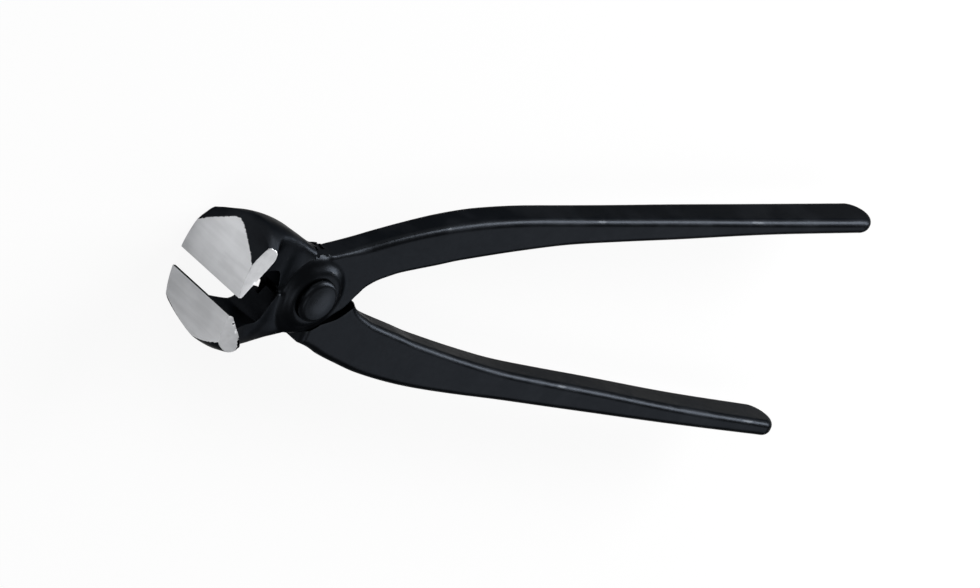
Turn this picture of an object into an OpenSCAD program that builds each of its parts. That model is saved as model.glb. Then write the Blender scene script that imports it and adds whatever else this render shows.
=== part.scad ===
// End cutting nippers: two crossed steel levers on one large rivet.
// The pivot axis is Z, the handles run along +X and the jaws along -X.
// The origin is the centre of the rivet's flush rear end.

/* [Overall] */
// Distance from the pivot to the cutting edges, along the tool
jaw_reach = 32.5; // [29:0.5:38]
// Distance from the pivot to the tips of the handles, along the tool
handle_reach = 187.5; // [165:0.5:240]
// Gap between the two cutting edges in the resting pose
edge_gap = 5.2; // [5:0.2:7]

/* [Joint] */
// Thickness of each half where the two lie on each other
lap_thickness = 4.1; // [3.6:0.1:5]
// Running gap between the two lapped faces
lap_gap = 0.2; // [0.1:0.05:0.4]
// Radius of the round lap of each half
lap_radius = 10.6; // [10.2:0.1:11.4]
// Gap between a lap and the shoulders cut round it
shoulder_gap = 0.35; // [0.3:0.05:0.6]
// Height of the raised boss on the outer face of each lap
boss_height = 1.6; // [1:0.1:2.4]
// Radius of the boss at its top
boss_top_radius = 7.2; // [6.9:0.1:8]
// Radius of the boss at its foot
boss_foot_radius = 9.6; // [9:0.1:10]

/* [Rivet] */
// Diameter of the rivet's round front head
head_diameter = 11.6; // [10:0.1:13.5]
// Height of the straight rim of the head
head_rim = 0.6; // [0.4:0.1:1.5]
// Height of the domed top above the rim
head_dome = 1.5; // [0.6:0.1:2.2]
// Diameter of the rivet's shank
shank_diameter = 7; // [5:0.1:8]
// Radial running clearance between the shank and the front half
running_clearance = 0.05; // [0.02:0.01:0.1]
// Diameter of the flush tail in the rear half
tail_diameter = 9.6; // [8.5:0.1:11]
// Depth of the countersink that holds the tail
tail_depth = 1.8; // [1:0.1:2.5]

/* [Handles] */
// Distance from the tool's axis to the middle of each handle tip
tip_offset = 30.9; // [28:0.1:40]
// Width of each handle near its root, across the tool
handle_root_width = 12; // [11.5:0.1:12.5]
// Width of each handle at its tip, across the tool
handle_tip_width = 4; // [3:0.1:6]
// Thickness of each handle along the pivot axis at its waist
handle_waist_thickness = 8.8; // [7:0.1:9.4]
// Thickness of each handle along the pivot axis at its tip
handle_tip_thickness = 10.8; // [9:0.1:12]
// Extra fullness outside the root of the rear half's handle
rear_root_fullness = 3; // [1:0.1:4]

/* [Jaws] */
// Length of the cutting edges, along the pivot axis
jaw_width = 24; // [20:0.5:28]
// Height of both jaws at the joint, above the tool's axis
jaw_root_height = 11; // [10:0.1:12]
// Height of the front half's jaw, from the tool's axis to its crown
front_crown_height = 16.3; // [15.5:0.1:18]
// Height of the rear half's jaw, from the tool's axis to its crown
rear_crown_height = 18.6; // [17:0.1:20]
// Height of the throat between the jaws above the tool's axis
hollow_height = 7.6; // [7:0.1:8.4]
// Width of the flat behind each cutting edge
edge_land = 0.9; // [0.5:0.1:1.5]
// Radius of the ground front of the jaws
front_radius = 26; // [22:1:40]
// Angle by which the far side of the rear half's jaw is ground in
rear_side_angle = 12; // [6:1:14]
// Angle by which the far side of the front half's jaw is ground in
front_side_angle = 6; // [2:1:10]
// Angle of the facet ground on the near side of the front half's jaw
facet_angle = 24; // [15:1:30]
// Angle at which the back of each jaw drops to the ground front
nose_angle = 45; // [35:1:50]
// Sideways shift of the rear half's ridge
ridge_shift = 2.5; // [0:0.1:4]
// Radius of the ridge
ridge_radius = 1.5; // [0.5:0.1:3]
// Angle at which the front half's back falls away on both sides of its ridge
front_roof_angle = 11; // [6:1:20]
// Angle at which the rear half's back falls away on the lap side of its ridge
rear_lap_roof_angle = 17; // [8:1:24]
// Angle at which the rear half's back falls away on the far side of its ridge
rear_far_roof_angle = 10; // [6:1:20]

/* [Hidden] */
fine = 96;
overrun = 1;
lap_face = lap_thickness + lap_gap / 2;
mid_z = boss_height + lap_face;
edge_y = edge_gap / 2;
shank_radius = shank_diameter / 2;
black = [0.10, 0.11, 0.13];
rivet_black = [0.14, 0.15, 0.17];

// The handle from the joint to its tip: places along handle_reach, then its outer side
// there as shares of its offset at the tip, and how far its width has tapered
along_shares = [0.02, 0.045, 0.066, 0.081, 0.09, 0.11, 0.14, 0.2, 0.27, 0.43, 0.62, 0.81, 1];
outer_shares = [0.31, 0.375, 0.424, 0.45, 0.468, 0.51, 0.583, 0.667, 0.73, 0.798, 0.864, 0.933, 1];
taper_shares = [-0.21, -0.58, -0.57, -0.384, -0.197, -0.02, 0.02, 0.035, 0.14, 0.55, 0.74, 0.943, 1];
// Where the inner side crosses the tool's axis and makes the crotch
crotch_share = 0.081;
// Where the handle's thickness leaves the joint, where its waist is, and the end of the fuller root
root_end_share = 0.08;
waist_share = 0.22;
fullness_end_share = 0.24;
handle_steps = 36;
handle_crowding = 1.7;
tip_steps = 8;
// Step between the lap's outer face and the forged faces beside it
face_step = 0.1;
// Turn of each half beyond the closed jaws for which the crotch web has room
spare_turn = 0.8;
// Length of the room past the crotch
web_room = 4;

// Where the jaw ends in the joint
joint_share = 0.03;
// The jaw from its front to the joint: places along jaw_reach, then how far its crown has
// risen from the joint's height and its half width there as a share of jaw_width
jaw_along_shares = [1.04, 0.95, 0.91, 0.87, 0.81, 0.74, 0.65, 0.56, 0.46, 0.36, 0.26, 0.14, joint_share];
rise_shares = [-0.14, 0.43, 0.66, 0.81, 0.96, 1, 0.945, 0.865, 0.75, 0.61, 0.45, 0.23, 0];
half_width_shares = [0.54, 0.535, 0.53, 0.525, 0.52, 0.5, 0.433, 0.356, 0.283, 0.22, 0.183, 0.173, 0.171];
neck_width_shares = [0.42, 0.41, 0.4, 0.39, 0.37, 0.335, 0.285, 0.25, 0.225, 0.2, 0.185, 0.175, 0.171];
// The throat between the jaws: places along jaw_reach and its height there as shares of hollow_height
hollow_along_shares = [0.84, 0.74, 0.615, 0.51, 0.46, 0.43, 0.39, 0.36, 0.335, joint_share];
hollow_shares = [1.05, 1.03, 1, 0.97, 0.9, 0.7, 0.36, 0.12, 0, 0];
jaw_steps = 26;
hollow_steps = 30;
// Where the back of the jaw begins to drop to its front
nose_share = 0.82;
// How far the sides of the back are rounded down, as a share of jaw_width
roundness_share = 0.05;
// How far the facet takes the edge in, as a share of jaw_width, and its lean to the edge
facet_share = 0.017;
facet_lean = 9;
arch_steps = 24;

function mix(a, b, t) = a + (b - a) * t;
function eased(t) = let(u = min(max(t, 0), 1)) u * u * (3 - 2 * u);

// Slope of a smooth curve at one of its points
function slope(xs, ys, i) =
    let(a = max(i - 1, 0), b = min(i + 1, len(xs) - 1)) (ys[b] - ys[a]) / (xs[b] - xs[a]);

// Index of the stretch of xs, rising or falling, that holds x
function stretch(xs, x, i = 0) =
    i >= len(xs) - 2 || (x - xs[i + 1]) * (xs[1] - xs[0]) < 0 ? i : stretch(xs, x, i + 1);

// Height at x of the smooth curve through the points xs, ys
function curve(xs, ys, x) =
    let(i = stretch(xs, x), w = xs[i + 1] - xs[i], t = (x - xs[i]) / w)
    ys[i] * (1 + 2 * t) * (1 - t) * (1 - t) + slope(xs, ys, i) * w * t * (1 - t) * (1 - t)
    + ys[i + 1] * t * t * (3 - 2 * t) + slope(xs, ys, i + 1) * w * t * t * (t - 1);

function backwards(list) = [for (i = [len(list) - 1:-1:0]) list[i]];

// Handle

tip_outer = tip_offset + handle_tip_width / 2;
crotch_reach = crotch_share * handle_reach;

function handle_outer(s) = tip_outer * curve(along_shares, outer_shares, s);
function handle_width(s) =
    mix(handle_root_width, handle_tip_width, curve(along_shares, taper_shares, s));
function fuller(s, extra) = extra * (1 - eased(s / fullness_end_share));

// Half thickness along the pivot axis
function handle_depth(s) =
    s < waist_share
        ? mix(lap_face - face_step, handle_waist_thickness / 2,
              eased((s - root_end_share) / (waist_share - root_end_share)))
        : mix(handle_waist_thickness, handle_tip_thickness, (s - waist_share) / (1 - waist_share)) / 2;

// Places along the handle, closer together near the joint
handle_places = [for (i = [0:handle_steps]) mix(along_shares[0], 1, pow(i / handle_steps, handle_crowding))];

// The handle seen along the pivot axis
module handle_outline(extra)
    polygon(concat(
        [for (s = handle_places) [s * handle_reach, handle_outer(s) + fuller(s, extra)]],
        [for (s = backwards(handle_places)) [s * handle_reach, handle_outer(s) - handle_width(s)]]));

// The handle seen across the tool, with its round tip
module handle_profile() {
    radius = handle_tip_thickness / 2;
    centre = handle_reach - radius;
    side = [for (s = handle_places) if (s * handle_reach < centre) [s * handle_reach, handle_depth(s)]];
    tip = [for (i = [0:2 * tip_steps]) let(a = 90 - 90 * i / tip_steps)
        [centre + radius * cos(a), radius * sin(a)]];
    polygon(concat(side, tip, [for (p = backwards(side)) [p[0], -p[1]]]));
}

module handle(extra)
    intersection() {
        linear_extrude(height = 2 * handle_tip_thickness, center = true) handle_outline(extra);
        rotate([90, 0, 0])
            linear_extrude(height = 4 * tip_outer, center = true) handle_profile();
    }

// Jaw

jaw_places = [for (i = [0:jaw_steps]) mix(jaw_along_shares[0], joint_share, i / jaw_steps)];
hollow_places = [for (i = [0:hollow_steps]) mix(hollow_along_shares[0], joint_share, i / hollow_steps)];
bevel_start = edge_land - jaw_reach;
bevel_end = -hollow_along_shares[0] * jaw_reach;

function crown(s, crown_height) =
    mix(jaw_root_height, crown_height, curve(jaw_along_shares, rise_shares, s));
function hollow(s) = hollow_height * curve(hollow_along_shares, hollow_shares, s);

// The jaw seen along the pivot axis: crown, throat and the bevel behind the edge
module jaw_outline(crown_height)
    polygon(concat(
        [for (s = jaw_places) [-s * jaw_reach, crown(s, crown_height)]],
        [for (s = backwards(hollow_places)) [-s * jaw_reach, hollow(s)]],
        [[bevel_start, edge_y],
         [-jaw_along_shares[0] * jaw_reach, edge_y]]));

// Everything in front of the bevel, seen along the pivot axis
module bevel_outline(crown_height) {
    rise = 2 * crown_height;
    run = rise * (bevel_end - bevel_start) / (hollow(hollow_along_shares[0]) - edge_y);
    polygon([[bevel_start, edge_y],
             [bevel_start + run, edge_y + rise],
             [-2 * jaw_reach, edge_y + rise],
             [-2 * jaw_reach, edge_y]]);
}

// The jaw seen across the tool, from its front to the joint
module jaw_plan(width_shares) {
    side = [for (s = jaw_places)
        [-s * jaw_reach, max(lap_face - face_step, jaw_width * curve(jaw_along_shares, width_shares, s))]];
    polygon(concat(side, [for (p = backwards(side)) [p[0], -p[1]]]));
}

// Drop of the jaw's back beside its ridge
function drop(across, angle) =
    tan(angle) * (sqrt(across * across + ridge_radius * ridge_radius) - ridge_radius)
    + roundness_share * jaw_width * pow(2 * abs(across) / jaw_width, 3);

// The jaw's back seen from its front, with the ridge at height 0
module jaw_arch(depth, shift, lap_angle, far_angle) {
    half = jaw_width / 2;
    polygon(concat(
        [[-half, -depth]],
        [for (i = [0:arch_steps]) let(z = half * (2 * i / arch_steps - 1), across = z + shift)
            [z, -drop(across, across < 0 ? lap_angle : far_angle)]],
        [[half, -depth]]));
}

// Solid along the tool under the jaw's back
module arch_bar(crown_height, shift, lap_angle, far_angle)
    rotate([0, -90, 0])
        linear_extrude(height = 4 * jaw_reach, center = true)
            jaw_arch(3 * crown_height, shift, lap_angle, far_angle);

// A jaw made upright: its lap side is at -Z and its far side at +Z
module jaw(crown_height, shift, lap_angle, far_angle, side_angle, facet) {
    block = 2 * crown_height;
    difference() {
        intersection() {
            linear_extrude(height = 2 * jaw_width, center = true) jaw_outline(crown_height);
            union() {
                intersection() {
                    linear_extrude(height = 2 * jaw_width, center = true) bevel_outline(crown_height);
                    rotate([90, 0, 0])
                        linear_extrude(height = 4 * crown_height, center = true) jaw_plan(half_width_shares);
                }
                rotate([90, 0, 0])
                    linear_extrude(height = 4 * crown_height, center = true) jaw_plan(neck_width_shares);
            }
            translate([0, crown_height, 0]) arch_bar(crown_height, shift, lap_angle, far_angle);
            translate([-nose_share * jaw_reach, crown_height, 0])
                rotate([0, 0, nose_angle]) arch_bar(crown_height, shift, lap_angle, far_angle);
            translate([front_radius - jaw_reach, edge_y, 0])
                cylinder(h = 2 * jaw_width, r = front_radius, center = true, $fn = fine * 2);
        }
        // The far side, ground in above the edge
        translate([0, edge_y, jaw_width / 2])
            rotate([-side_angle, 0, 0])
                translate([-2 * jaw_reach, -block, 0]) cube([2 * jaw_reach, 2 * block, block]);
        // The facet on the lap side
        if (facet > 0)
            translate([-jaw_reach, edge_y, facet_share * jaw_width - jaw_width / 2])
                rotate([facet_lean, facet, 0])
                    translate([-block, -block, -block]) cube([2 * block, 2 * block, block]);
    }
}

// Angle by which each half turns from the resting pose until the edges meet, and back
closing_angle = 2 * atan(edge_y / jaw_reach) + spare_turn;

// Room for the other half's crotch web in the closed jaws, seen along the pivot axis:
// below the inner side of that handle, which is this one's mirrored
module web_room_outline() {
    places = [for (s = handle_places) if (s * handle_reach < crotch_reach + web_room) s];
    rotate(closing_angle)
        polygon(concat(
            [for (s = places) [s * handle_reach, shoulder_gap + handle_width(s) - handle_outer(s)]],
            [[crotch_reach + web_room, -crotch_reach],
             [places[0] * handle_reach, -crotch_reach]]));
}

// One lever of the tool, lapped on its +Z side, with its handle at +Y. The jaw at -Y is a child
module lever(extra) {
    shoulder_end = lap_radius * sin(closing_angle) + 2 * shoulder_gap;
    depth = lap_face + overrun;
    difference() {
        union() {
            handle(extra);
            rotate([180, 0, 0]) children();
            translate([0, 0, lap_gap / 2]) cylinder(h = lap_thickness, r = lap_radius, $fn = fine);
            translate([0, 0, lap_face - overrun])
                rotate_extrude($fn = fine)
                    polygon([[0, 0], [boss_foot_radius, 0], [boss_foot_radius, overrun],
                             [boss_top_radius, overrun + boss_height], [0, overrun + boss_height]]);
        }
        // Room for the other lever's lap, with blunt shoulders beside it
        translate([0, 0, -depth])
            cylinder(h = depth + lap_gap / 2, r = lap_radius + shoulder_gap, $fn = fine);
        translate([-jaw_reach / 2, -shoulder_end, -depth])
            cube([jaw_reach / 2, shoulder_end + lap_radius, depth + lap_gap / 2]);
        // Room for the other lever's crotch web
        translate([0, 0, -depth]) linear_extrude(height = depth + lap_gap / 2) web_room_outline();
    }
}

// Sub-parts

module front_half()
    color(black)
        translate([0, 0, mid_z])
            difference() {
                lever(0)
                    jaw(front_crown_height, 0, front_roof_angle, front_roof_angle, front_side_angle, facet_angle);
                cylinder(h = 2 * (mid_z + overrun), r = shank_radius + running_clearance, center = true, $fn = fine);
            }

module rear_half()
    color(black)
        difference() {
            translate([0, 0, mid_z])
                rotate([180, 0, 0])
                    lever(rear_root_fullness)
                        jaw(rear_crown_height, ridge_shift, rear_lap_roof_angle, rear_far_roof_angle,
                            rear_side_angle, 0);
            translate([0, 0, -overrun]) cylinder(h = mid_z + 2 * overrun, r = shank_radius, $fn = fine);
            rivet_tail();
        }

module rivet_tail() cylinder(h = tail_depth, r1 = tail_diameter / 2, r2 = shank_radius, $fn = fine);

module pivot_rivet() {
    seat = 2 * mid_z + lap_gap / 2;
    rim = head_diameter / 2;
    dome = (rim * rim + head_dome * head_dome) / (2 * head_dome);
    color(rivet_black)
        union() {
            rivet_tail();
            cylinder(h = seat + head_rim / 2, r = shank_radius, $fn = fine);
            translate([0, 0, seat]) cylinder(h = head_rim, r = rim, $fn = fine);
            intersection() {
                translate([0, 0, seat + head_rim]) cylinder(h = head_dome, r = rim, $fn = fine);
                translate([0, 0, seat + head_rim + head_dome - dome]) sphere(r = dome, $fn = fine * 2);
            }
        }
}

front_half();
rear_half();
pivot_rivet();
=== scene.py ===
"""End cutting nippers, dressed for a picture: two forged levers, the rivet, a pale floor and soft light."""

import math

import bpy
import numpy as np
from bpy.props import FloatProperty, FloatVectorProperty, PointerProperty
from mathutils import Matrix, Vector


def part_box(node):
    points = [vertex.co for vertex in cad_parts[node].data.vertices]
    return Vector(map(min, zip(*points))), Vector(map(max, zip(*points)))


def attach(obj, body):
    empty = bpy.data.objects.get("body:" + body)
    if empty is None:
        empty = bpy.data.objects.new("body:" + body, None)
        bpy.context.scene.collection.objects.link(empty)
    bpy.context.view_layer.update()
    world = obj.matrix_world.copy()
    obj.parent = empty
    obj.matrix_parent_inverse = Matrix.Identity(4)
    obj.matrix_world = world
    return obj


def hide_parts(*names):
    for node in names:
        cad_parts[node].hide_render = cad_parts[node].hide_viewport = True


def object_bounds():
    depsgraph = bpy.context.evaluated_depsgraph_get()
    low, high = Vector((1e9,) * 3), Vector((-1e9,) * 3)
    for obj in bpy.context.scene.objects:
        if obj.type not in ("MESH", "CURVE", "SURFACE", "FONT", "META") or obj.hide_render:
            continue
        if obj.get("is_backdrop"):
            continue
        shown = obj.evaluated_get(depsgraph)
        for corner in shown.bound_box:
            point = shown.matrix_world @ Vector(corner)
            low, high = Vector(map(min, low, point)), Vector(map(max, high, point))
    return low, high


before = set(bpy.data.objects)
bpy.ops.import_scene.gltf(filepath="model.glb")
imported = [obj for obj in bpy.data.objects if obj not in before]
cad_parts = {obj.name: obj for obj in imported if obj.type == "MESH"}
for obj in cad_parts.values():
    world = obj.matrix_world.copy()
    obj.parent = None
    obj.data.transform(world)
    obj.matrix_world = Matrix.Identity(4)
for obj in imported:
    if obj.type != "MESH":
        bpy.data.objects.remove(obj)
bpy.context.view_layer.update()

bl_info = {
    "name": "End Cutting Nippers",
    "version": (1, 0, 0),
    "blender": (4, 5, 0),
    "location": "3D View > Sidebar > Nippers",
    "description": "Forged levers, rivet, materials and a plain stage for end cutting nippers",
    "category": "Add Mesh",
}

MM = 0.001
LEVER_LOW, LEVER_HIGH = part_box("rear_half")
JAW_TIP = -LEVER_LOW[0] / MM
HANDLE_TIP = LEVER_HIGH[0] / MM


# Settings


class NippersSizes(bpy.types.PropertyGroup):
    """Sizes of the forging that the two levers share."""

    lap_face: FloatProperty(
        name="Lap face",
        description="Distance from the joint's middle plane to the outer forged face",
        default=4.2 * MM,
        subtype="DISTANCE",
        unit="LENGTH",
    )
    lap_gap: FloatProperty(
        name="Lap gap",
        description="Running gap between the two lapped faces",
        default=0.2 * MM,
        subtype="DISTANCE",
        unit="LENGTH",
    )
    boss_height: FloatProperty(
        name="Boss height",
        description="Height of the raised boss on the outer face of each lap",
        default=1.6 * MM,
        subtype="DISTANCE",
        unit="LENGTH",
    )
    corner: FloatProperty(
        name="Handle corner",
        description="Radius of the rounded corners along the handles",
        default=1.9 * MM,
        subtype="DISTANCE",
        unit="LENGTH",
    )
    front_radius: FloatProperty(
        name="Front radius",
        description="Radius of the ground front of the jaws",
        default=26 * MM,
        subtype="DISTANCE",
        unit="LENGTH",
    )
    side_angle: FloatProperty(
        name="Side angle",
        description="Angle by which one side of each jaw is ground in",
        default=math.radians(12),
        subtype="ANGLE",
        unit="ROTATION",
    )
    cell: FloatProperty(
        name="Cell",
        description="Spacing of the mesh over the jaws and the joint",
        default=0.4 * MM,
        subtype="DISTANCE",
        unit="LENGTH",
    )


class NippersFinish(bpy.types.PropertyGroup):
    """Colours and surface of the black forging and of the ground steel."""

    black: FloatVectorProperty(
        name="Black",
        description="Colour of the blackened forging",
        default=(0.012, 0.0135, 0.016),
        size=3,
        subtype="COLOR",
        min=0,
        max=1,
    )
    # Colour on the handles' corners: partly edge wear, partly a painted highlight along the corner lines.
    edge_wear_and_highlight: FloatVectorProperty(
        name="Worn edge",
        description="Colour where the black has rubbed thin along the corners",
        default=(0.022, 0.024, 0.027),
        size=3,
        subtype="COLOR",
        min=0,
        max=1,
    )
    steel: FloatVectorProperty(
        name="Ground steel",
        description="Colour of the bright ground faces",
        default=(0.66, 0.67, 0.69),
        size=3,
        subtype="COLOR",
        min=0,
        max=1,
    )
    black_roughness: FloatProperty(
        name="Black roughness",
        description="Roughness of the blackened forging",
        default=0.36,
        subtype="FACTOR",
        min=0,
        max=1,
    )
    steel_roughness: FloatProperty(
        name="Steel roughness",
        description="Roughness of the ground faces",
        default=0.34,
        subtype="FACTOR",
        min=0,
        max=1,
    )


class NippersStage(bpy.types.PropertyGroup):
    """Floor, light and camera."""

    floor: FloatVectorProperty(
        name="Floor",
        description="Colour of the floor",
        default=(0.86, 0.86, 0.86),
        size=3,
        subtype="COLOR",
        min=0,
        max=1,
    )
    white: FloatProperty(
        name="White",
        description="Share of the floor that the camera sees plain white, without shadow",
        default=0.9,
        subtype="FACTOR",
        min=0,
        max=1,
    )
    world: FloatProperty(
        name="World",
        description="Strength of the even light from all round",
        default=0.24,
        min=0,
        max=2,
    )
    distance: FloatProperty(
        name="Camera distance",
        description="Distance of the camera from the joint",
        default=2.0,
        subtype="DISTANCE",
        unit="LENGTH",
    )


# Curves and rounded forms, in millimetres


def curve(points):
    """A smooth curve through points that never overshoots them, as a function of the first coordinate."""
    xs, ys = (np.array(column, float) for column in zip(*points))
    run = np.diff(xs)
    rise = np.diff(ys) / run
    slopes = np.zeros(len(xs))
    slopes[0], slopes[-1] = rise[0], rise[-1]
    same_way = rise[:-1] * rise[1:] > 0
    a = 2 * run[1:] + run[:-1]
    b = run[1:] + 2 * run[:-1]
    safe = np.where(same_way, rise[:-1] * rise[1:], 1)
    slopes[1:-1] = np.where(same_way, (a + b) * safe / (a * rise[1:] + b * rise[:-1]), 0)

    def height(x):
        x = np.clip(x, xs[0], xs[-1])
        i = np.clip(np.searchsorted(xs, x) - 1, 0, len(run) - 1)
        t = (x - xs[i]) / run[i]
        return (
            ys[i] * (1 + 2 * t) * (1 - t) ** 2
            + slopes[i] * run[i] * t * (1 - t) ** 2
            + ys[i + 1] * t * t * (3 - 2 * t)
            + slopes[i + 1] * run[i] * t * t * (t - 1)
        )

    return height


def steepness(height, x):
    """Length of the curve for each millimetre of x, which turns a height into a distance."""
    step = 0.05
    return np.sqrt(1 + ((height(x + step) - height(x - step)) / (2 * step)) ** 2)


def eased(value, low, high):
    """Rises smoothly from 0 at low to 1 at high."""
    t = np.clip((value - low) / (high - low), 0, 1)
    return t * t * (3 - 2 * t)


def corner(a, b, radius):
    """The solid inside both a and b, with the corner between them rounded."""
    inside = np.minimum(np.maximum(a, b) + radius, 0)
    return inside + np.hypot(np.maximum(a + radius, 0), np.maximum(b + radius, 0)) - radius


def joined(a, b, fillet):
    """The solid inside a or b, with a fillet where they meet."""
    h = np.clip(0.5 + 0.5 * (b - a) / fillet, 0, 1)
    return b + (a - b) * h - fillet * h * (1 - h)


# The lever, with its lap on +Z, its handle at +Y and its jaw at -Y

HANDLE_INNER = curve(
    [(6, -7.6), (10, -5.2), (12.5, -3.6), (14, -2.0), (15.2, -0.3), (16, 0.7), (17, 2.0), (18.1, 3.1),
     (20.6, 4.8), (23.3, 6.0), (26.1, 7.1), (32, 8.7), (38, 10.2), (44, 11.8), (50, 13.1), (64, 15.9),
     (80, 18.6), (98, 20.6), (115, 22.3), (150, 26.0), (188, 29.0)]
)
HANDLE_OUTER = {
    "front": curve(
        [(-4, 8.2), (0, 10.2), (2, 10.8), (4.4, 11.6), (6.8, 12.3), (9.7, 13.2), (12.5, 14.1), (18, 16.0),
         (25, 18.2), (31, 19.9), (37.5, 21.5), (50, 23.8), (64, 25.3), (80, 26.3), (98, 27.4), (115, 28.5),
         (150, 30.6), (188, 33.0)]
    ),
    "rear": curve(
        [(0, 13.0), (4.2, 14.0), (8.2, 15.2), (12, 16.8), (19.7, 19.2), (27.3, 21.3), (36.7, 23.1),
         (44.3, 24.2), (51.8, 25.0), (64, 25.9), (80, 26.8), (98, 28.0), (115, 29.1), (150, 31.3),
         (188, 33.3)]
    ),
}
HANDLE_DEPTH = curve([(0, 4.1), (14, 4.1), (26, 4.2), (45, 4.4), (90, 4.65), (140, 5.1), (188, 5.4)])
HANDLE_START = {"front": 1.0, "rear": 3.4}
HANDLE_START_ROUND = 0.6
DRAFT = {"front": 0.12, "rear": 0}
DRAFT_FADE = (20, 50)

CROWN = {
    "front": curve(
        [(0, 11.0), (4.2, 12.4), (8.5, 13.6), (11.7, 14.3), (15, 14.9), (18, 15.4), (21, 15.9), (24, 16.3),
         (26, 16.2), (28, 15.6), (29.2, 15.0), (30.3, 14.1), (31, 13.3), (34, 10)]
    ),
    "rear": curve(
        [(0, 11.0), (4.2, 12.4), (8.5, 14.2), (11.7, 15.5), (15, 16.8), (18, 17.7), (21, 18.3), (24, 18.6),
         (26.7, 18.1), (28.3, 16.7), (29.5, 15.5), (30.2, 14.8), (31, 13.8), (34, 10.1)]
    ),
}
CROWN_PEAK = 24.5
# The ridge's place across the jaw, the fall of its sides, its lean and its bow
RIDGE = {"front": (0, 0.2, 0, 0.0005), "rear": (-2.5, 0.24, 0.07, 0.0005)}
RIDGE_ROUND = 1.5
RIDGE_SLOPE = 0.85
RIDGE_BLEND = (23.5, 28.8)
HALF_WIDTH = curve([(0, 4.1), (7, 4.2), (11, 5.0), (15, 6.8), (19, 9.0), (22, 11.0), (25, 12.4), (34, 12.9)])
FULLNESS = curve([(0, 3.6), (10, 3.4), (18, 2.6), (25, 2.15), (34, 2.1)])
BELLY_SHARE = 0.3

THROAT = curve(
    [(0, 0), (11.9, 0), (12.7, 0.9), (13.6, 2.7), (14.5, 5.0), (15.5, 6.6), (17, 7.4), (20, 7.6), (24, 7.8),
     (28, 9)]
)
THROAT_FILLET = 2.0
NECK_WIDTH = curve([(0, 4.3), (9, 4.5), (14, 5.2), (20, 6.6), (26, 9.0)])
NECK_END = 27
SHOULDER_END = 2.5
SHOULDER_DEPTH = 0.1
JAW_ROOT = 0.5
JAW_ROOT_ROUND = 1.0

EDGE_Y = 2.6
EDGE_LAND = 0.9
BEVEL = math.radians(51)
# The underside's corners are rounded up to UNDER_ROUND at the neck and nearly sharp at the cutting edge
UNDER_ROUND = 1.4
UNDER_ROUND_RATE = 0.4
EDGE_ROUND = 0.03
JAW_SIDE = 12
# The front jaw's lap side is a facet: where it starts, its turn along the jaw, its lean and its steepness
FACET_START = 11.6
FACET_TURN = 0.437
FACET_LEAN = 0.17
FACET_STEEPNESS = 1.1

LAP_RADIUS = 10.6
LAP_ROUND = 1.0
LAP_ROUND_BLEND = (11, 18)
LAP_SINK = 0.05
LAP_BLEND = (13, 18)
LAP_REACH = 19
LAP_TO_JAW = 1.2
HANDLE_TO_LAP = 2.0
HANDLE_TO_JAW = 0.8
BORE = 3.55
BOSS_FOOT = 9.6
BOSS_TOP = 7.2
BOSS_DEPTH = 1.2
BOSS_ROUND = 0.5
BOSS_FILLET = 0.7
GROUND_FROM = 8

# Room for the other half: round its lap, for the web in its crotch at full closing, and for its neck's end
CLOSING = 2 * math.atan2(EDGE_Y, JAW_TIP)
CLOSING_SPARE = math.radians(0.8)
SHOULDER_GAP = 0.35
WEB_GAP = 1.5 * SHOULDER_GAP
WEB_START = 6
WEB_REACH = 17.5
NECK_ROOM = (-3.5, 3)


def handle_sides(half, x, y, z):
    """Distance to the handle's outer and inner sides and its end in the joint, as seen along the pivot."""
    outer = HANDLE_OUTER[half]
    draft = DRAFT[half] * z * (1 - eased(x, *DRAFT_FADE))
    side = np.maximum(
        (y - draft - outer(x)) / steepness(outer, x),
        (HANDLE_INNER(x) - y) / steepness(HANDLE_INNER, x),
    )
    return corner(side, HANDLE_START[half] - x, HANDLE_START_ROUND)


def handle_faces(x, z):
    """Distance to the handle's two flat faces and round tip, as seen across the tool."""
    radius = float(HANDLE_DEPTH(HANDLE_TIP))
    centre = HANDLE_TIP - radius
    return np.where(x < centre, np.abs(z) - HANDLE_DEPTH(x), np.hypot(x - centre, z) - radius)


def jaw_skin(half, s, y, z):
    """Distance to the outside of the forged jaw: a round neck that opens into a ridged crown."""
    crown = CROWN[half](s)
    width = HALF_WIDTH(s)
    belly = BELLY_SHARE * crown
    power = FULLNESS(s)
    tall = np.maximum(y - belly, 0) / (crown - belly)
    wide = np.abs(z) / width
    round_form = ((tall**power + wide**power) ** (1 / power) - 1) * np.minimum(crown - belly, width)
    middle, roof, lean, bow = RIDGE[half]
    across = z - middle
    drop = roof * (np.hypot(across, RIDGE_ROUND) - RIDGE_ROUND) - lean * across + bow * np.abs(across) ** 3
    ridged = (y - crown + drop) * RIDGE_SLOPE
    return round_form + (ridged - round_form) * eased(s, *RIDGE_BLEND)


def jaw_form(half, x, y, z):
    """Distance to the forged jaw before it is ground, made upright at +Y with its lap side at -Z."""
    s = -x
    hollow = (THROAT(s) - y) / steepness(THROAT, s)
    hollow = np.maximum(hollow, np.minimum(SHOULDER_END - y, z + SHOULDER_DEPTH))
    neck = np.maximum(np.maximum(hollow, np.abs(z) - NECK_WIDTH(s)), s - NECK_END)
    bevel = (x + JAW_TIP - EDGE_LAND) * math.sin(BEVEL) - (y - EDGE_Y) * math.cos(BEVEL)
    under = joined(np.maximum(bevel, EDGE_Y - y), neck, THROAT_FILLET)
    under_round = np.clip((NECK_END - s) * UNDER_ROUND_RATE, EDGE_ROUND, UNDER_ROUND)
    body = corner(jaw_skin(half, s, y, z), under, under_round)
    return corner(body, x + JAW_ROOT, JAW_ROOT_ROUND)


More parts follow.
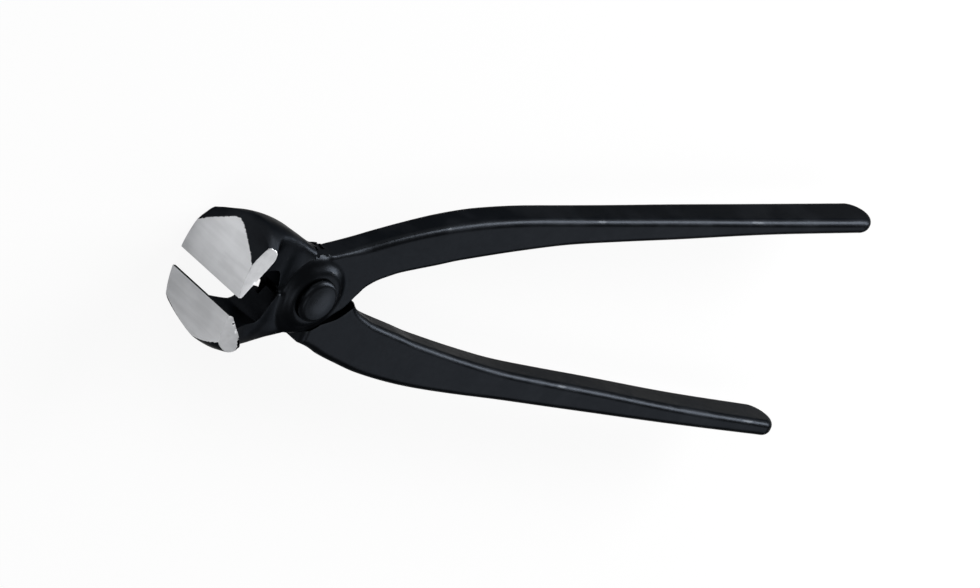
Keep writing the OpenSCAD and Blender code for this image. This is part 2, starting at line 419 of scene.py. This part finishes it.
def ground_faces(half, sizes, x, y, z):
    """Distance to the front arc and the two sides, on a jaw made upright."""
    radius = sizes.front_radius / MM
    front = np.hypot(x - (radius - JAW_TIP), y - EDGE_Y) - radius
    tilt = sizes.side_angle if half == "rear" else sizes.side_angle / 2
    far_side = (z - JAW_SIDE) * math.cos(tilt) + (y - EDGE_Y) * math.sin(tilt)
    lap_side = -z - JAW_SIDE
    if half == "front":
        facet = -z - FACET_START - FACET_TURN * (x + JAW_TIP) + FACET_LEAN * (y - EDGE_Y)
        lap_side = facet / FACET_STEEPNESS
    return np.maximum(front, np.maximum(lap_side, far_side))


def lever(half, sizes):
    """The two distance functions of a lever: the whole of it, and its ground faces."""
    lap_face = sizes.lap_face / MM
    handle_round = sizes.corner / MM
    low = sizes.lap_gap / MM / 2
    top = lap_face + sizes.boss_height / MM
    cone = math.atan2(BOSS_FOOT - BOSS_TOP, top - lap_face)
    turn = CLOSING + CLOSING_SPARE

    def grind(x, y, z):
        return ground_faces(half, sizes, x, -y, -z)

    def room(x, y, z):
        r = np.hypot(x, y)
        tx = x * math.cos(turn) + y * math.sin(turn)
        ty = y * math.cos(turn) - x * math.sin(turn)
        web = (ty + HANDLE_INNER(tx)) / steepness(HANDLE_INNER, tx) - WEB_GAP
        web = np.maximum(np.maximum(web, WEB_START - x), r - WEB_REACH)
        circle = r - LAP_RADIUS - SHOULDER_GAP
        neck_end = np.maximum(np.maximum(NECK_ROOM[0] - x, x - NECK_ROOM[1]), y)
        return np.maximum(np.minimum(np.minimum(circle, web), neck_end), z - low)

    def boss_form(r, z):
        slope = (r - BOSS_FOOT) * math.cos(cone) + (z - lap_face) * math.sin(cone)
        return np.maximum(corner(slope, z - top, BOSS_ROUND), lap_face - BOSS_DEPTH - z)

    def whole(x, y, z):
        r = np.hypot(x, y)
        side = handle_sides(half, x, y, z)
        face = handle_faces(x, z)
        jaw = jaw_form(half, x, -y, -z)
        blank = joined(corner(side, face, handle_round), jaw, HANDLE_TO_JAW)
        blank = np.maximum(blank, -room(x, y, z))
        round_over = LAP_ROUND + (handle_round - LAP_ROUND) * eased(r, *LAP_ROUND_BLEND)
        flat = z - lap_face + LAP_SINK
        flat = flat + (face - flat) * eased(r, *LAP_BLEND)
        lap = corner(joined(side, r - LAP_RADIUS, HANDLE_TO_LAP), flat, round_over)
        lap = joined(lap, jaw, LAP_TO_JAW)
        lap = np.where(z > lap_face - BOSS_DEPTH, joined(lap, boss_form(r, z), BOSS_FILLET), lap)
        lap = np.maximum(np.maximum(lap, low - z), r - LAP_REACH)
        solid = np.maximum(np.minimum(blank, lap), BORE - r)
        return np.where(x < -GROUND_FROM, np.maximum(solid, grind(x, y, z)), solid)

    return whole, grind


# Meshing: one point a crossed cell, set by the faces that cross it, so ground edges stay sharp

SLAB = 24
NARROWINGS = 3
NARROWING_RANGE = (0.02, 0.98)
SLOPE_STEP = 0.02
PULL = 0.08
SHARP_ANGLE = math.radians(34)

FINE_END = 30
TIP_START = 176
HANDLE_CELL = 1.7
TIP_CELLS = (0.6, 0.35)
JAW_MARGIN = 1.3
TIP_MARGIN = 1.1
CROWN_MARGIN = 1.0
GRID_OUTER = 34.2
GRID_SIDE = 12.9
GROUND_DEPTH = 0.04


def spaced(stretches):
    """Coordinates with the given spacing at the ends of each stretch: (start, end, spacing, spacing)."""
    line = [stretches[0][0]]
    for start, end, first, last in stretches:
        count = max(2, round((end - start) / ((first + last) / 2)))
        steps = np.linspace(first, last, count)
        line += list(start + np.cumsum(steps) * (end - start) / steps.sum())
    return np.array(line)


def slope_of(field, points):
    """Unit direction in which the field rises at each point."""
    shifts = SLOPE_STEP * np.eye(3)
    rise = np.stack([field(*(points + s).T) - field(*(points - s).T) for s in shifts], 1)
    return rise / np.maximum(np.linalg.norm(rise, axis=1, keepdims=True), 1e-9)


def grid_points(lines, cells):
    """Coordinates of grid points from their numbers along the three lines."""
    return np.stack([lines[i][cells[:, i]] for i in range(3)], 1)


def crossed_edges(value, axis):
    """Both ends of each edge along an axis that the surface crosses, clear of the grid's sides."""
    inside = value < 0
    near = [slice(None)] * 3
    far = [slice(None)] * 3
    near[axis], far[axis] = slice(0, -1), slice(1, None)
    start = np.argwhere(inside[tuple(near)] != inside[tuple(far)])
    last = np.array(value.shape) - 1
    clear = np.all([(start[:, a] > 0) & (start[:, a] < last[a]) for a in range(3) if a != axis], axis=0)
    start = start[clear]
    end = start.copy()
    end[:, axis] += 1
    return start, end


def crossing_points(field, lines, value, start, end):
    """The point on each crossed edge where the field is zero."""
    a, b = grid_points(lines, start), grid_points(lines, end)
    va, vb = value[tuple(start.T)], value[tuple(end.T)]
    for _ in range(NARROWINGS):
        point = a + (b - a) * np.clip(va / (va - vb), *NARROWING_RANGE)[:, None]
        v = field(*point.T)
        on_a = (v < 0) == (va < 0)
        a, va = np.where(on_a[:, None], point, a), np.where(on_a, v, va)
        b, vb = np.where(on_a[:, None], b, point), np.where(on_a, vb, v)
    return a + (b - a) * (va / np.where(va == vb, 1, va - vb))[:, None]


def surface(field, lines):
    """Points and quads of the surface where the field is zero, on a grid of lines."""
    grid = np.meshgrid(*lines, indexing="ij")
    slabs = range(0, len(lines[0]), SLAB)
    value = np.concatenate([field(*(g[i : i + SLAB] for g in grid)) for i in slabs])
    cells = np.array(value.shape) - 1
    count = cells.prod()
    matrix = np.zeros((count, 3, 3))
    vector = np.zeros((count, 3))
    middle = np.zeros((count, 3))
    hits = np.zeros(count)
    quads = []
    for axis in range(3):
        start, end = crossed_edges(value, axis)
        point = crossing_points(field, lines, value, start, end)
        normal = slope_of(field, point)
        offset = (normal * point).sum(1)
        beside = [a for a in range(3) if a != axis]
        around = []
        for shift in ((-1, -1), (0, -1), (0, 0), (-1, 0)):
            cell = start.copy()
            cell[:, beside] += shift
            index = (cell[:, 0] * cells[1] + cell[:, 1]) * cells[2] + cell[:, 2]
            around.append(index)
            for r in range(3):
                vector[:, r] += np.bincount(index, normal[:, r] * offset, count)
                middle[:, r] += np.bincount(index, point[:, r], count)
                for c in range(3):
                    matrix[:, r, c] += np.bincount(index, normal[:, r] * normal[:, c], count)
            hits += np.bincount(index, minlength=count)
        ring = np.stack(around, 1)
        outward = value[tuple(start.T)] < 0
        in_order = outward if axis != 1 else ~outward
        quads.append(np.where(in_order[:, None], ring, ring[:, ::-1]))
    used = np.flatnonzero(hits)
    middle = middle[used] / hits[used][:, None]
    matrix, vector = matrix[used], vector[used]
    rest = vector - np.einsum("nij,nj->ni", matrix, middle)
    moved = middle + np.linalg.solve(matrix + PULL * np.eye(3), rest[..., None])[..., 0]
    cell = np.stack(np.unravel_index(used, cells), 1)
    points = np.clip(moved, grid_points(lines, cell), grid_points(lines, cell + 1))
    number = np.full(count, -1)
    number[used] = np.arange(len(used))
    return points, number[np.concatenate(quads)]


def mesh_object(name, points, quads, materials, choice, body, slot, *nodes):
    """A mesh object in the row frame from points in millimetres, riding on a body in place of CAD nodes."""
    mesh = bpy.data.meshes.new(name)
    mesh.vertices.add(len(points))
    mesh.vertices.foreach_set("co", (points * MM).astype(np.float32).ravel())
    sizes = np.array([len(q) for q in quads])
    mesh.loops.add(int(sizes.sum()))
    mesh.loops.foreach_set("vertex_index", np.concatenate(quads).astype(np.int32))
    mesh.polygons.add(len(quads))
    mesh.polygons.foreach_set("loop_start", np.concatenate([[0], np.cumsum(sizes)[:-1]]).astype(np.int32))
    mesh.polygons.foreach_set("material_index", np.asarray(choice, np.int32))
    mesh.update(calc_edges=True)
    mesh.validate()
    mesh.shade_smooth()
    mesh.set_sharp_from_angle(angle=SHARP_ANGLE)
    for material in materials:
        mesh.materials.append(material)
    piece = bpy.data.objects.new(name, mesh)
    bpy.context.scene.collection.objects.link(piece)
    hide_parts(*nodes)
    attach(piece, body)


def lever_piece(half, sizes):
    """Meshes one lever and places it, turned over for the rear half."""
    whole, grind = lever(half, sizes)
    cell = sizes.cell / MM
    reach = float(CROWN[half](CROWN_PEAK)) + CROWN_MARGIN
    joint = (-JAW_TIP - JAW_MARGIN, FINE_END, cell, cell)
    handle = (FINE_END, TIP_START, cell, HANDLE_CELL)
    tip = (TIP_START, HANDLE_TIP + TIP_MARGIN, *TIP_CELLS)
    lines = [
        spaced([joint, handle, tip]),
        spaced([(-reach, GRID_OUTER, cell, cell)]),
        spaced([(-GRID_SIDE, GRID_SIDE, cell, cell)]),
    ]
    points, quads = surface(whole, lines)
    centre = points[quads].mean(1)
    bright = (grind(*centre.T) > -GROUND_DEPTH) & (centre[:, 0] < -GROUND_FROM)
    if half == "rear":
        points = points * [1, -1, -1]
    points = points + [0, 0, (sizes.lap_face + sizes.boss_height) / MM]
    materials = [black_forging(), ground_steel()]
    mesh_object(half + "_lever", points, quads, materials, bright, half, "lever_steel", half + "_half")


# The rivet, as a profile of radius and height from its flush tail to its domed head

TAIL = [(0, 0), (4.4, 0), (4.72, 0.06), (4.66, 0.3)]
COUNTERSINK = 1.8
SHANK = 3.5
HEAD_LIFT = 0.1
HEAD_FOOT = [(5.5, 0), (5.75, 0.1)]
HEAD_RADIUS = 5.8
HEAD_RIM = 0.3
HEAD_ROUND = 1.5
HEAD_DOME = 0.35
ROUND_STEPS = 9
DOME_STEPS = 6
RING_POINTS = 96


def rivet_profile(seat):
    """Radius and height of the rivet's outline, with its head seated at a height."""
    flat = HEAD_RADIUS - HEAD_ROUND
    ball = (flat * flat + HEAD_DOME * HEAD_DOME) / (2 * HEAD_DOME)
    rim = seat + HEAD_RIM
    profile = [*TAIL, (SHANK, COUNTERSINK), (SHANK, seat)]
    profile += [(r, seat + rise) for r, rise in HEAD_FOOT]
    for i in range(ROUND_STEPS):
        a = math.radians(90 * i / ROUND_STEPS)
        profile.append((flat + HEAD_ROUND * math.cos(a), rim + HEAD_ROUND * math.sin(a)))
    for i in range(DOME_STEPS + 1):
        r = flat * (1 - i / DOME_STEPS)
        profile.append((r, rim + HEAD_ROUND + math.sqrt(ball * ball - r * r) - (ball - HEAD_DOME)))
    return profile


def turned(profile):
    """Points and faces of a profile turned round the Z axis, closed by triangles where its radius is 0."""
    points, rings, faces = [], [], []
    for r, z in profile:
        start = len(points)
        if r == 0:
            rings.append([start] * RING_POINTS)
            points.append((0, 0, z))
            continue
        rings.append(range(start, start + RING_POINTS))
        for i in range(RING_POINTS):
            a = 2 * math.pi * i / RING_POINTS
            points.append((r * math.cos(a), r * math.sin(a), z))
    for low, high in zip(rings, rings[1:]):
        for i in range(RING_POINTS):
            j = (i + 1) % RING_POINTS
            faces.append(list(dict.fromkeys([low[i], low[j], high[j], high[i]])))
    return np.array(points, float), faces


# Materials


class Socket:
    """A node's output that can be used in sums."""

    def __init__(self, tree, link):
        self.tree = tree
        self.link = link

    def maths(self, operation, *values):
        return self.tree.add("ShaderNodeMath", {"operation": operation}, dict(enumerate(values)))

    def __add__(self, other):
        return self.maths("ADD", self, other)

    __radd__ = __add__

    def __sub__(self, other):
        return self.maths("SUBTRACT", self, other)

    def __rsub__(self, other):
        return self.maths("SUBTRACT", other, self)

    def __mul__(self, other):
        return self.maths("MULTIPLY", self, other)

    __rmul__ = __mul__


class Finish:
    """A material and its nodes."""

    def __init__(self, name):
        self.material = bpy.data.materials.new(name)
        self.material.use_nodes = True
        self.nodes = self.material.node_tree.nodes
        self.links = self.material.node_tree.links
        self.shader = self.nodes["Principled BSDF"]

    def fill(self, socket, value):
        """Links a socket to another node's output, or sets its value; a colour is made opaque."""
        if isinstance(value, Socket):
            self.links.new(value.link, socket)
        elif socket.type == "RGBA":
            socket.default_value = (*value[:3], 1)
        else:
            socket.default_value = value

    def add(self, kind, settings, sockets, output=0):
        """Adds a node, sets its settings, then fills its sockets, which are given by number or name."""
        node = self.nodes.new(kind)
        for name, value in settings.items():
            setattr(node, name, value)
        for key, value in sockets.items():
            self.fill(node.inputs[key], value)
        return Socket(self, node.outputs[output])

    def place(self):
        return self.add("ShaderNodeTexCoord", {}, {}, "Object")

    def stretched(self, scale):
        return self.add("ShaderNodeMapping", {}, {"Vector": self.place(), "Scale": scale})

    def noise(self, scale, detail, vector=None, roughness=0.5):
        vector = vector or self.place()
        sockets = {"Vector": vector, "Scale": scale, "Detail": detail, "Roughness": roughness}
        return self.add("ShaderNodeTexNoise", {}, sockets)

    def between(self, value, low, high):
        """0 below low, 1 above high and a smooth rise between them."""
        sockets = {0: value, 1: low, 2: high}
        return self.add("ShaderNodeMapRange", {"interpolation_type": "SMOOTHSTEP"}, sockets)

    def blend(self, factor, a, b):
        """Colour a where the factor is 0 and colour b where it is 1."""
        return self.add("ShaderNodeMix", {"data_type": "RGBA"}, {0: factor, 6: a, 7: b}, 2)

    def bump(self, height, strength, distance):
        sockets = {"Strength": strength, "Distance": distance, "Height": height}
        return self.add("ShaderNodeBump", {}, sockets)

    def ray(self, kind):
        """1 for rays of one kind and 0 for all others."""
        return self.add("ShaderNodeLightPath", {}, {}, kind)

    def finish(self, sockets):
        """Fills the sockets of the material's shader."""
        for name, value in sockets.items():
            self.fill(self.shader.inputs[name], value)
        return self.material


BLACK_TINT = (0.45, 0.45, 0.45)
RING_RATE = 14000.0
GLOSSY_SHARE = 0.2


def shade(colour, share):
    """A lighter or darker shade of a colour."""
    return [min(1, c * share) for c in colour]


def black_forging():
    """Blackened drop forging: scale grain, rubbed patches, and corners made lighter, partly for edge wear
    and partly as a painted highlight.
    """
    found = bpy.data.materials.get("black_forging")
    if found:
        return found
    look = bpy.context.scene.nippers_finish
    f = Finish("black_forging")
    pointed = f.add("ShaderNodeNewGeometry", {}, {}, "Pointiness")
    corners = f.between(pointed, 0.52, 0.62)
    patches = f.between(f.noise(90.0, 4.0), 0.42, 0.62)
    grain = f.noise(2600.0, 3.0)
    scale_marks = f.noise(700.0, 4.0, roughness=0.6)
    # The corners' lighter colour is partly edge wear and partly a painted highlight along the corner lines.
    edge_wear_and_highlight = corners * (0.6 + 0.4 * patches)
    black = f.blend(patches, shade(look.black, 0.85), shade(look.black, 1.15))
    rough = look.black_roughness + 0.12 * (scale_marks - 0.5) + 0.08 * (patches - 0.5) - 0.06 * edge_wear_and_highlight
    return f.finish(
        {
            "Base Color": f.blend(edge_wear_and_highlight, black, look.edge_wear_and_highlight),
            "Metallic": 1.0,
            "Roughness": rough,
            "Specular Tint": BLACK_TINT,
            "Normal": f.bump(0.6 * scale_marks + 0.4 * grain, 0.35, 0.00006),
        }
    )


def ground_steel():
    """Steel ground bright across the jaw, with fine grinding lines and faint clouds."""
    found = bpy.data.materials.get("ground_steel")
    if found:
        return found
    look = bpy.context.scene.nippers_finish
    f = Finish("ground_steel")
    lines = f.noise(1.0, 3.0, f.stretched((5200.0, 5200.0, 160.0)))
    broad = f.noise(1.0, 2.0, f.stretched((520.0, 520.0, 60.0)))
    clouds = f.noise(140.0, 3.0)
    tone = f.between(0.5 * broad + 0.5 * clouds, 0.35, 0.65)
    return f.finish(
        {
            "Base Color": f.blend(tone, shade(look.steel, 0.9), shade(look.steel, 1.06)),
            "Metallic": 1.0,
            "Roughness": look.steel_roughness + 0.14 * (lines - 0.5) + 0.08 * (clouds - 0.5),
            "Normal": f.bump(0.7 * lines + 0.3 * broad, 0.25, 0.00004),
        }
    )


def black_rivet():
    """Blackened rivet head, burnished at its crown by handling, with faint turned rings."""
    look = bpy.context.scene.nippers_finish
    f = Finish("black_rivet")
    flat_place = f.stretched((1.0, 1.0, 0.0))
    radius = f.add("ShaderNodeVectorMath", {"operation": "LENGTH"}, {0: flat_place}, "Value")
    burnish = 1 - f.between(radius, 0.002, HEAD_RADIUS * MM)
    rings = f.add("ShaderNodeMath", {"operation": "SINE"}, {0: radius * RING_RATE})
    patches = f.noise(420.0, 4.0)
    grain = f.noise(1500.0, 3.0)
    return f.finish(
        {
            "Base Color": f.blend(burnish * patches * 0.8, look.black, shade(look.black, 2.2)),
            "Metallic": 1.0,
            "Roughness": look.black_roughness - 0.08 * burnish + 0.14 * (patches - 0.5),
            "Specular Tint": BLACK_TINT,
            "Normal": f.bump(0.3 * rings + 0.7 * grain, 0.2, 0.00004),
        }
    )


def floor_finish(colour, white):
    """Plain pale floor, nearly white to the camera and the reflections, with the tool's shadow on it."""
    f = Finish("pale_floor")
    tone = f.blend(f.noise(60.0, 2.0), shade(colour, 0.99), colour)
    f.finish({"Base Color": tone, "Roughness": 0.9, "Specular IOR Level": 0.1})
    glow = f.add("ShaderNodeEmission", {}, {"Color": (1, 1, 1), "Strength": 1.0})
    seen = (f.ray("Is Camera Ray") + f.ray("Is Transmission Ray")) * white
    seen = seen + f.ray("Is Glossy Ray") * (white * GLOSSY_SHARE)
    plain = Socket(f, f.shader.outputs["BSDF"])
    mixed = f.add("ShaderNodeMixShader", {}, {0: seen, 1: plain, 2: glow})
    f.fill(f.nodes["Material Output"].inputs["Surface"], mixed)
    return f.material


# The stage, in metres

FLOOR_HALF = 3.0
# Name, direction from the joint, distance, size, power in watts, and shift along the handles
LAMPS = [
    ("strip_lamp", (0.72, 0.60, 0.34), 0.9, (0.9, 0.25), 15.0, 0.05),
    ("top_lamp", (-0.17, -0.34, 0.94), 1.2, (0.5, 0.5), 1.6, 0.05),
    ("key_lamp", (-0.75, 0.55, 0.55), 1.2, (0.9, 0.7), 3.0, 0.05),
    ("side_lamp", (0.72, -0.34, 0.61), 0.7, (0.35, 0.35), 0.9, 0.1),
]
VIEW_BACK = Vector((-0.7181, 0.3366, 0.6091)).normalized()
VIEW_UP = Vector((-0.0444, 0.8513, -0.5228))
VIEW_SHIFT = (0.0458, -0.00163)
PICTURE_PIXELS = 980
FOCAL_PIXELS = 8222


def add_floor(scene, stage):
    """Puts a wide floor right under the tool."""
    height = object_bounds()[0][2]
    corners = [(-1, -1), (1, -1), (1, 1), (-1, 1)]
    mesh = bpy.data.meshes.new("floor")
    mesh.from_pydata([(x * FLOOR_HALF, y * FLOOR_HALF, height) for x, y in corners], [], [(0, 1, 2, 3)])
    mesh.materials.append(floor_finish(stage.floor, stage.white))
    floor = bpy.data.objects.new("floor", mesh)
    scene.collection.objects.link(floor)
    floor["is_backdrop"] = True


def add_lamp(scene, name, direction, distance, size, power, shift):
    """Puts a flat lamp at a distance from the tool, facing it."""
    lamp = bpy.data.lights.new(name, "AREA")
    lamp.shape = "RECTANGLE"
    lamp.size, lamp.size_y = size
    lamp.energy = power
    holder = bpy.data.objects.new(name, lamp)
    away = Vector(direction).normalized()
    holder.location = away * distance + Vector((shift, 0, 0))
    holder.rotation_euler = away.to_track_quat("Z", "Y").to_euler()
    scene.collection.objects.link(holder)


def add_even_light(scene, strength):
    """Gives the world a plain white light from all round."""
    world = bpy.data.worlds.new("even_light")
    world.use_nodes = True
    background = world.node_tree.nodes["Background"]
    background.inputs["Color"].default_value = (1, 1, 1, 1)
    background.inputs["Strength"].default_value = strength
    scene.world = world


def add_camera(scene, joint_height, distance):
    """Puts the camera where the photograph was taken from."""
    right = VIEW_UP.cross(VIEW_BACK).normalized()
    up = VIEW_BACK.cross(right)
    camera = bpy.data.cameras.new("camera")
    camera.sensor_width = 36
    camera.lens = FOCAL_PIXELS / PICTURE_PIXELS * camera.sensor_width
    camera.clip_end = 20
    holder = bpy.data.objects.new("camera", camera)
    across, along = VIEW_SHIFT
    spot = Vector((0, 0, joint_height)) + across * right + along * up + distance * VIEW_BACK
    holder.matrix_world = Matrix.Translation(spot) @ Matrix((right, up, VIEW_BACK)).transposed().to_4x4()
    scene.collection.objects.link(holder)
    scene.camera = holder


# Operators


class NIPPERS_OT_front_lever(bpy.types.Operator):
    """Make the front lever: upper handle, lap nearest the viewer and lower jaw"""

    bl_idname = "nippers.front_lever"
    bl_label = "Front Lever"

    def execute(self, context):
        lever_piece("front", context.scene.nippers_sizes)
        return {"FINISHED"}


class NIPPERS_OT_rear_lever(bpy.types.Operator):
    """Make the rear lever: lower handle, lap at the back and upper jaw"""

    bl_idname = "nippers.rear_lever"
    bl_label = "Rear Lever"

    def execute(self, context):
        lever_piece("rear", context.scene.nippers_sizes)
        return {"FINISHED"}


class NIPPERS_OT_rivet(bpy.types.Operator):
    """Make the rivet: domed head, shank and flush tail"""

    bl_idname = "nippers.rivet"
    bl_label = "Rivet"

    def execute(self, context):
        sizes = context.scene.nippers_sizes
        seat = 2 * (sizes.lap_face + sizes.boss_height) / MM + HEAD_LIFT
        points, faces = turned(rivet_profile(seat))
        choice = [0] * len(faces)
        mesh_object("rivet", points, faces, [black_rivet()], choice, "rear", "rivet_steel", "pivot_rivet")
        return {"FINISHED"}


class NIPPERS_OT_stage(bpy.types.Operator):
    """Make the floor, the lamps, the even light and the camera"""

    bl_idname = "nippers.stage"
    bl_label = "Stage"

    def execute(self, context):
        scene = context.scene
        stage = scene.nippers_stage
        sizes = scene.nippers_sizes
        add_floor(scene, stage)
        for lamp in LAMPS:
            add_lamp(scene, *lamp)
        add_even_light(scene, stage.world)
        add_camera(scene, sizes.lap_face + sizes.boss_height, stage.distance)
        scene.view_settings.view_transform = "Standard"
        return {"FINISHED"}


class NIPPERS_PT_panel(bpy.types.Panel):
    """Settings and pieces of the nippers"""

    bl_label = "Nippers"
    bl_idname = "NIPPERS_PT_panel"
    bl_space_type = "VIEW_3D"
    bl_region_type = "UI"
    bl_category = "Nippers"

    def draw(self, context):
        scene = context.scene
        for group in (scene.nippers_sizes, scene.nippers_finish, scene.nippers_stage):
            box = self.layout.box()
            for name in group.__annotations__:
                box.prop(group, name)
        for operator in OPERATORS:
            self.layout.operator(operator.bl_idname)


OPERATORS = (NIPPERS_OT_front_lever, NIPPERS_OT_rear_lever, NIPPERS_OT_rivet, NIPPERS_OT_stage)
CLASSES = (NippersSizes, NippersFinish, NippersStage, *OPERATORS, NIPPERS_PT_panel)


def register():
    for cls in CLASSES:
        bpy.utils.register_class(cls)
    bpy.types.Scene.nippers_sizes = PointerProperty(type=NippersSizes)
    bpy.types.Scene.nippers_finish = PointerProperty(type=NippersFinish)
    bpy.types.Scene.nippers_stage = PointerProperty(type=NippersStage)


def unregister():
    del bpy.types.Scene.nippers_stage
    del bpy.types.Scene.nippers_finish
    del bpy.types.Scene.nippers_sizes
    for cls in reversed(CLASSES):
        bpy.utils.unregister_class(cls)


def main():
    register()
    bpy.ops.nippers.front_lever()
    bpy.ops.nippers.rear_lever()
    bpy.ops.nippers.rivet()
    bpy.ops.nippers.stage()


if __name__ == "__main__":
    main()
